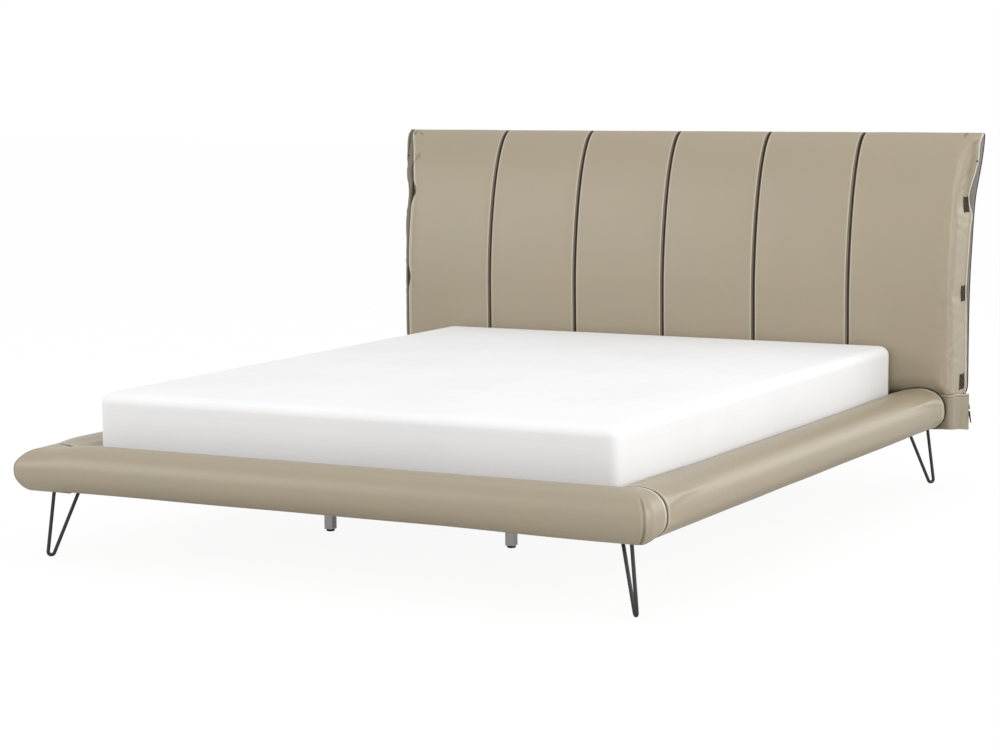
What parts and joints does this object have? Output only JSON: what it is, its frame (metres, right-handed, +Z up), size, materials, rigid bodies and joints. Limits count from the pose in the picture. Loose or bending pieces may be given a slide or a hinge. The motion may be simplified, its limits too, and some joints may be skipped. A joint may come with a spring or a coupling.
{
  "type": "bed",
  "caption": "Low bed with padded faux leather rolls on hairpin legs, a slatted base, a tall headboard with laced seams and a loose mattress.",
  "frame": {"origin": "on the floor, under the middle of the whole bed's box", "axes": "+Z up, +Y towards the headboard, foot end at -Y, X across the bed with X = 0 the plane of symmetry"},
  "size_m": [2.0788, 2.3429, 1.118],
  "materials": {
    "taupe_leather": "smooth taupe faux leather, low sheen",
    "brown_lace": "dark brown whip-stitched cord",
    "timber": "planed softwood",
    "birch": "laminated birch, clear lacquer",
    "grey_steel": "light grey powder coat",
    "black_steel": "satin black powder coat",
    "black_plastic": "moulded, matt",
    "white_fabric": "white knitted mattress cover"
  },
  "bodies": {
    "bed_frame": {"foot_bolster": "taupe_leather", "side_bolster_left": "taupe_leather", "side_bolster_right": "taupe_leather", "foot_beam": "timber", "side_beam_left": "timber", "side_beam_right": "timber", "head_beam": "timber", "foot_cleat": "timber", "head_cleat": "timber", "slat_01": "birch", "slat_02": "birch", "slat_03": "birch", "slat_04": "birch", "slat_05": "birch", "slat_06": "birch", "slat_07": "birch", "slat_08": "birch", "slat_09": "birch", "slat_10": "birch", "slat_11": "birch", "slat_12": "birch", "slat_ledge_left": "grey_steel", "slat_ledge_right": "grey_steel", "support_rail_left": "grey_steel", "support_rail_right": "grey_steel", "support_leg_front_left": "grey_steel", "support_leg_front_right": "grey_steel", "support_leg_rear_left": "grey_steel", "support_leg_rear_right": "grey_steel", "corner_bracket_front_left": "grey_steel", "corner_bracket_front_right": "grey_steel", "corner_bracket_rear_left": "grey_steel", "corner_bracket_rear_right": "grey_steel", "hairpin_leg_front_left": "black_steel", "hairpin_leg_front_right": "black_steel", "hairpin_leg_rear_left": "black_steel", "hairpin_leg_rear_right": "black_steel", "headboard_cushion": "taupe_leather", "seam_lace_1": "brown_lace", "seam_lace_2": "brown_lace", "seam_lace_3": "brown_lace", "seam_lace_4": "brown_lace", "seam_lace_5": "brown_lace", "back_cover": "taupe_leather", "headboard_panel": "timber", "headboard_post_left": "timber", "headboard_post_right": "timber", "skirt_left": "taupe_leather", "skirt_right": "taupe_leather", "side_tie_left_1": "brown_lace", "side_tie_left_2": "brown_lace", "side_tie_left_3": "brown_lace", "side_tie_right_1": "brown_lace", "side_tie_right_2": "brown_lace", "side_tie_right_3": "brown_lace"},
    "mattress": {"mattress": "white_fabric"},
    "foot_front_left": {"levelling_foot_front_left": "black_plastic"},
    "foot_front_right": {"levelling_foot_front_right": "black_plastic"},
    "foot_rear_left": {"levelling_foot_rear_left": "black_plastic"},
    "foot_rear_right": {"levelling_foot_rear_right": "black_plastic"}
  },
  "joints": [
    {"name": "mattress_lift", "type": "slide", "parent": "bed_frame", "child": "mattress", "axis": [0, 0, 1], "range_m": [0, 0.25]},
    {"name": "levelling_front_left", "type": "slide", "parent": "bed_frame", "child": "foot_front_left", "axis": [0, 0, -1], "range_m": [0, 0.037]},
    {"name": "levelling_front_right", "type": "slide", "parent": "bed_frame", "child": "foot_front_right", "axis": [0, 0, -1], "range_m": [0, 0.037]},
    {"name": "levelling_rear_left", "type": "slide", "parent": "bed_frame", "child": "foot_rear_left", "axis": [0, 0, -1], "range_m": [0, 0.037]},
    {"name": "levelling_rear_right", "type": "slide", "parent": "bed_frame", "child": "foot_rear_right", "axis": [0, 0, -1], "range_m": [0, 0.037]}
  ]
}
